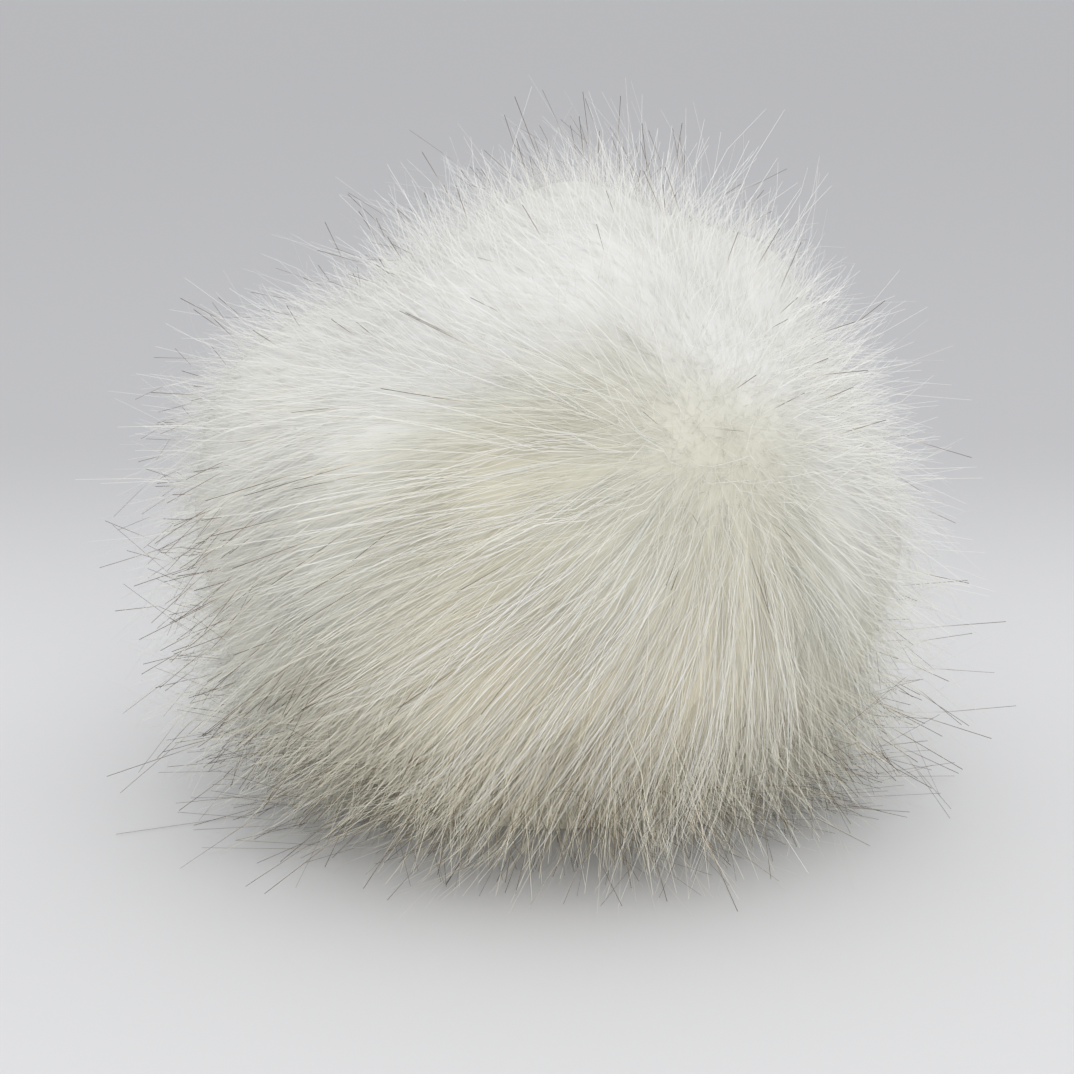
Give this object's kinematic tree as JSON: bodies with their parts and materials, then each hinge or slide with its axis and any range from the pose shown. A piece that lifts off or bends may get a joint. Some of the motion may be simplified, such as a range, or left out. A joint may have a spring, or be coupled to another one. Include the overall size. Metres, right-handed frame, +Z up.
{
  "type": "pom pom",
  "caption": "Fluffy ball of long white fur with dark-tipped guard hairs, for the top of a knitted hat.",
  "frame": {"origin": "on the surface that the ball lies on, under the middle of its box", "axes": "+Z up, -Y towards the side where the pile parts, +X to the right as seen from that side"},
  "size_m": [0.1212, 0.116, 0.0961],
  "materials": {
    "fur": "soft long-pile faux fur, ivory white, with some brown-black tips"
  },
  "bodies": {
    "root": {"fur_ball": "fur"}
  },
  "joints": []
}
